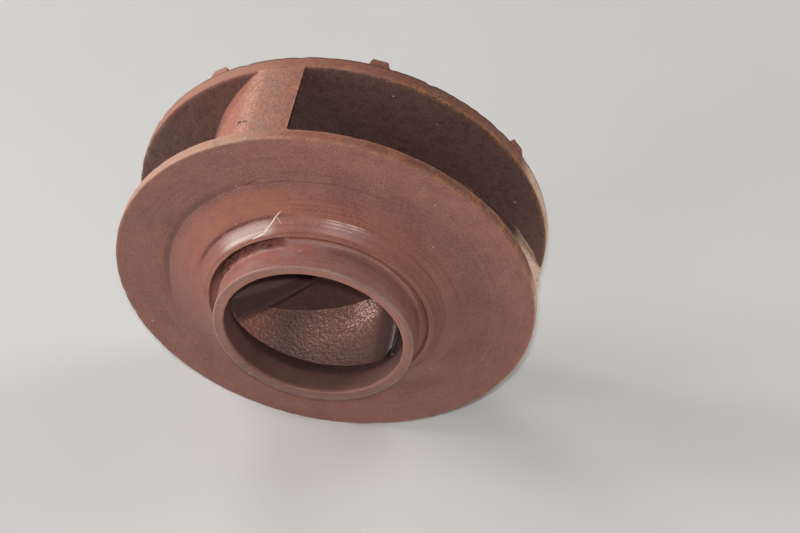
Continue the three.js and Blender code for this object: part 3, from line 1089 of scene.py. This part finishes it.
def makeHubBoss():
    back = plateBack - hub["bossHeight"]
    corners = [
        (wheel["shaftRadius"], back, 1.0),
        (hub["bossRadius"], back, 1.6),
        (hub["bossRadius"], plateBack - 3.0, 0.0),
        (hub["bossRadius"] + 2.5, plateBack + 0.2, 0.0),
        (wheel["shaftRadius"], plateBack + 0.2, 0.0),
    ]
    outline, angles = roundedOutline(corners, 1.8), boreAngles(hub["segments"])
    turnPiece(["hub_boss"], "boredHub", outline, angles, keyedWall)


makeHubNose()
makeHubBoss()

# Vanes: a flat blank is bent onto its spiral and trimmed to the bell mouth by Geometry Nodes

vanes = {
    "count": 3,
    "flankSlope": 0.51,
    "innerFlankAngle": 98.0,
    "outerFlankAngle": 109.8,
    "noseRadiusRear": 38.0,  # the leading edge runs inwards from the bell mouth to the hub
    "noseRadiusFront": 79.0,
    "noseShare": 0.022,
    "fillet": 2.0,
    "skinDepth": 0.5,
    "skinSize": 110.0,
    "flankSteps": 120,
    "tipSteps": 24,
    "noseSteps": 14,
    "rows": 62,
}


vaneInputs = ("Flank Slope", "Inner Flank Angle", "Outer Flank Angle", "Nose Radius Rear",
              "Nose Radius Front", "Nose Share", "Fillet", "Skin Depth", "Skin Size")


# A tree's inputs and a piece's settings have the same names, such as Skin Depth and skinDepth.
def settingsFor(labels, settings):
    return {label: settings[label[0].lower() + label[1:].replace(" ", "")] for label in labels}


def newShapeTree(name, *sizes, **more):
    inputs = {"Geometry": "Geometry", "Material": "Material", **floats(*sizes), **more}
    return newTree(name, "Geometry", inputs, {"Geometry": "Geometry"})


def ceilingNodes(radius):
    mouth, span = wheel["mouthRadius"], wheel["mouthRadius"] - wheel["eyeRadius"]
    share = calc("DIVIDE", minus(mouth, radius), span, clamp=True)
    rise = calc("SQRT", minus(1.0, calc("POWER", share, 2.0)))
    return minus(wheel["boreEnd"], times(rise, wheel["boreEnd"] - innerFace))


def makeVaneTree():
    tree, given, result = newShapeTree("spiralVane", *vaneInputs, "Seed")
    spot = tree.nodes.new("GeometryNodeInputPosition").outputs[0]
    along, across, high = put(tree, "ShaderNodeSeparateXYZ", {0: spot}).outputs
    tip, slope, fillet = wheel["radius"], given["Flank Slope"], given["Fillet"]
    flankTurn = calc("ARCTANGENT", slope)
    sine, cosine = calc("SINE", flankTurn), calc("COSINE", flankTurn)
    inner = calc("RADIANS", given["Inner Flank Angle"])
    spread = minus(calc("RADIANS", given["Outer Flank Angle"]), inner)
    noseStep = minus(given["Nose Radius Front"], given["Nose Radius Rear"])
    logSpan = calc("LOGARITHM", divided(tip, scaled(noseStep, high, given["Nose Radius Rear"])), math.e)

    firstRadius = times(tip, calc("EXPONENT", times(logSpan, minus(1.0, along), -1.0)))
    tall = minus(ceilingNodes(firstRadius), rearFace)
    nearEnd = times(calc("MINIMUM", high, minus(1.0, high)), tall)
    inCorner = highest(minus(fillet, nearEnd), 0.0)
    spreadOut = minus(fillet, calc("SQRT", minus(calc("POWER", fillet, 2.0), calc("POWER", inCorner, 2.0))))

    halfThick = times(firstRadius, spread, times(sine, 0.5))
    wide = times(across, plus(1.0, divided(spreadOut, halfThick)))
    ahead = highest(minus(1.0, divided(along, given["Nose Share"])), 0.0)
    shifted = minus(along, times(ahead, divided(times(spreadOut, sine), times(firstRadius, logSpan))))

    left = minus(1.0, shifted)
    side = scaled(wide, 0.5, 0.5)
    squared = times(spread, times(sine, cosine), times(left, side))
    fall = highest(minus(times(logSpan, left), squared), 0.0)
    radius = times(tip, calc("EXPONENT", times(fall, -1.0)))
    turn = plus(scaled(spread, side, inner), divided(fall, slope))
    low = rearFace - 0.6
    place = scaled(minus(plus(ceilingNodes(radius), 0.8), low), high, low)
    bent = vectorOf(
        times(radius, calc("COSINE", turn), milli),
        times(minus(wheel["rimPlace"], place), milli),
        times(scaled(radius, calc("SINE", turn), wheel["axisHeight"]), milli),
    )
    shaped = put(tree, "GeometryNodeSetPosition", {"Geometry": given["Geometry"], "Position": bent})
    return endTree(shaped.outputs[0], given, result)


# Makes copies real, roughens the surface, sets the material and gives the tree its result.
def endTree(geometry, given, result):
    tree = geometry.id_data
    real = put(tree, "GeometryNodeRealizeInstances", {"Geometry": geometry}).outputs[0]
    rough = {"Geometry": skinNodes(real, given), "Material": given["Material"]}
    giveOut(result, put(tree, "GeometryNodeSetMaterial", rough).outputs[0])
    return tree


# Sinks the surface unevenly by up to Skin Depth, so that nothing grows past its true size.
def skinNodes(geometry, given):
    tree = geometry.id_data
    where, normal = [tree.nodes.new("GeometryNodeInput" + kind).outputs[0] for kind in ("Position", "Normal")]
    seeded = vectorOf(given["Seed"], given["Seed"])
    moved = put(tree, "ShaderNodeVectorMath", {0: where, 1: seeded}, {"operation": "ADD"}).outputs[0]
    depth = times(noiseOf(moved, given["Skin Size"], 4.0, 0.62), given["Skin Depth"], -milli)
    offset = put(tree, "ShaderNodeVectorMath", {0: normal, "Scale": depth}, {"operation": "SCALE"}).outputs[0]
    return put(tree, "GeometryNodeSetPosition", {"Geometry": geometry, "Offset": offset}).outputs[0]


# In shares, the blank's X runs from nose to tip, Y from flank to flank and Z from the rear plate forwards.
def vaneBlank(name):
    nose, flankSteps, tipSteps = vanes["noseShare"], vanes["flankSteps"], vanes["tipSteps"]
    turns = [math.pi * step / vanes["noseSteps"] for step in range(vanes["noseSteps"])]
    outline = [(nose * (1 - math.sin(turn)), math.cos(turn)) for turn in turns]
    outline += [(nose + (1 - nose) * step / flankSteps, -1.0) for step in range(flankSteps)]
    outline += [(1.0, -1 + 2 * step / tipSteps) for step in range(tipSteps)]
    outline += [(1 - (1 - nose) * step / flankSteps, 1.0) for step in range(flankSteps)]
    shares = [row / vanes["rows"] for row in range(vanes["rows"] + 1)]
    heights = [share - 0.11 * math.sin(fullTurn * share) / 2 for share in shares]  # closer rows at both ends
    vertices = [(along, across, high) for high in heights for along, across in outline]
    count = len(outline)
    faces = rowFaces(count, vanes["rows"])
    for start, order in ((0, -1), (vanes["rows"] * count, 1)):
        for face in capFaces(count):
            faces.append([start + index for index in face][::order])
    return makeObject(name, vertices, faces)


# Closes an end with strips from flank to flank, one face at the nose and one at the tip.
def capFaces(count):
    nose, flank, tip = vanes["noseSteps"], vanes["flankSteps"], vanes["tipSteps"]
    faces = [list(range(nose + 1))]
    for step in range(flank):
        lower, upper = nose + step, (count - step) % count
        faces.append([lower, lower + 1, count - step - 1, upper])
    faces.append(list(range(nose + flank, nose + flank + tip + 1)))
    return faces


def makeVanes():
    tree = makeVaneTree()
    for index in range(vanes["count"]):
        turn = -index * 360 / vanes["count"]
        piece = vaneBlank("vane_%d_skin" % (index + 1))
        values = settingsFor(vaneInputs, vanes)
        values["Inner Flank Angle"] += turn
        values["Outer Flank Angle"] += turn
        runTree(piece, tree, {**values, "Seed": 3.0 * index, "Material": materials["rawCasting"]})
        dress(piece, "rawCasting", "vane_%d" % (index + 1))


makeVanes()

# Back ribs: one rib repeated round the axis by Geometry Nodes

backRibs = {
    "count": 8,
    "firstAngle": 34.3,
    "innerRadius": 58.0,
    "footWidth": 17.0,
    "topWidth": 13.4,
    "height": 6.5,
    "footFillet": 0.7,
    "topEdge": 0.7,
    "stations": 64,
    "skinDepth": 0.35,
    "skinSize": 130.0,
    "seed": 4.0,
}
ribInputs = ("First Angle", "Axis Height", "Skin Depth", "Skin Size", "Seed")


def ribSection():
    foot, top, high = backRibs["footWidth"] / 2, backRibs["topWidth"] / 2, backRibs["height"]
    fillet = backRibs["footFillet"]
    right = [(foot + fillet, -0.3), (foot + fillet * 0.35, 0.25), (foot - 0.1, fillet * 0.8)]
    right += [(foot - 0.6, high * 0.5), (top + 0.15, high - backRibs["topEdge"]), (top - 0.25, high - 0.3),
              (top - backRibs["topEdge"], high)]
    left = [(-across, up) for across, up in reversed(right)]
    return right + [(2.0, high), (-2.0, high)] + left


def ribBlank():
    section = ribSection()
    count, stations = len(section), backRibs["stations"]
    inner, outer = backRibs["innerRadius"], wheel["radius"] - 0.3
    vertices = []
    for station in range(stations + 1):
        share = station / stations
        for across, up in section:
            end = math.sqrt(outer * outer - across * across)
            along = inner + (end - inner) * share
            rise = math.sqrt(max(1 - (1 - min((along - inner + 0.4) / 7.0, 1.0)) ** 2, 0.0)) if up > 0 else 1
            behind = wheel["rimPlace"] - plateBack + up * rise
            vertices.append(Vector((along, behind, across)) * milli)
    faces = rowFaces(count, stations)
    faces.append(list(range(count)))
    faces.append([stations * count + index for index in range(count)])
    return makeObject("back_ribs_skin", vertices, faces)


def makeRibTree():
    tree, given, result = newShapeTree("ribsRoundAxis", *ribInputs, Count="Int")
    centre = vectorOf(z=times(given["Axis Height"], milli))
    points = put(tree, "GeometryNodeMeshLine", {
        "Count": given["Count"], "Start Location": centre, "Offset": (0, 0, 0),
    }).outputs[0]
    index = tree.nodes.new("GeometryNodeInputIndex").outputs[0]
    angle = scaled(index, divided(360.0, given["Count"]), given["First Angle"])
    turn = vectorOf(y=times(calc("RADIANS", angle), -1.0))
    copies = put(tree, "GeometryNodeInstanceOnPoints", {
        "Points": points, "Instance": given["Geometry"], "Rotation": turn,
    }).outputs[0]
    return endTree(copies, given, result)


def makeBackRibs():
    piece = ribBlank()
    values = settingsFor(("Count", *ribInputs), {**backRibs, "axisHeight": wheel["axisHeight"]})
    runTree(piece, makeRibTree(), {**values, "Material": materials["primedCasting"]})
    nodes = ["back_rib_%d" % (number + 1) for number in range(backRibs["count"])]
    dress(piece, "primedCasting", *nodes)


makeBackRibs()

# Floor

floor = {
    "half": 4.0,
    "colour": (0.705, 0.692, 0.664),
    "shade": (0.64, 0.628, 0.604),
}


def makeFloor():
    half = floor["half"]
    mesh = bpy.data.meshes.new("floor")
    corners = [(-half, -half, 0), (half, -half, 0), (half, half, 0), (-half, half, 0)]
    mesh.from_pydata(corners, [], [(0, 1, 2, 3)])
    material, _, shader, vector = newMaterial("palePaper")
    feed(shader["Base Color"], lay(floor["shade"], floor["colour"], noiseOf(vector, 3.0, 3.0)))
    shader["Roughness"].default_value = 0.85
    shader["Specular IOR Level"].default_value = 0.2
    mesh.materials.append(material)
    addToScene("floor", mesh)


makeFloor()

# Lights

# Azimuth, elevation, distance in metres, size and power. Azimuths count anticlockwise from the right as seen
# from above, so that 180 is the left and 270 the front.
lights = {
    "overLens": (282.2, 50, 1.53, 0.03, 8.5),
    "leftWindow": (182, 18, 4.0, 1.4, 92),
    "windowCorner": (214, 18, 3.0, 0.5, 9),
    "highLeft": (180, 45, 2.6, 0.9, 9),
    "frontLeft": (230, 28, 2.6, 1.6, 10),
    "frontRight": (312, 17, 2.6, 1.6, 6),
    "backRight": (30, 24, 2.6, 1.2, 28),
    "backLeft": (131, 21, 3.4, 1.2, 42),
}
aim = Vector((0, 0, 0.18))


def makeLight(label, azimuth, elevation, away, size, power):
    light = bpy.data.lights.new(label, "AREA")
    light.shape = "SQUARE"
    light.size = size
    light.energy = power
    turn, rise = math.radians(azimuth), math.radians(elevation)
    direction = Vector((math.cos(turn) * math.cos(rise), math.sin(turn) * math.cos(rise), math.sin(rise)))
    lamp = addToScene(label, light)
    lamp.location = aim + direction * away
    lamp.rotation_euler = (-direction).to_track_quat("-Z", "Y").to_euler()


for label, settings in lights.items():
    makeLight(label, *settings)

world = bpy.data.worlds.new("studio")
world.use_nodes = True
world.node_tree.nodes["Background"].inputs["Color"].default_value = (0.93, 0.95, 1.0, 1)
world.node_tree.nodes["Background"].inputs["Strength"].default_value = 0.02
bpy.context.scene.world = world
bpy.context.scene.view_settings.view_transform = "Standard"
print("floor and lights ready")
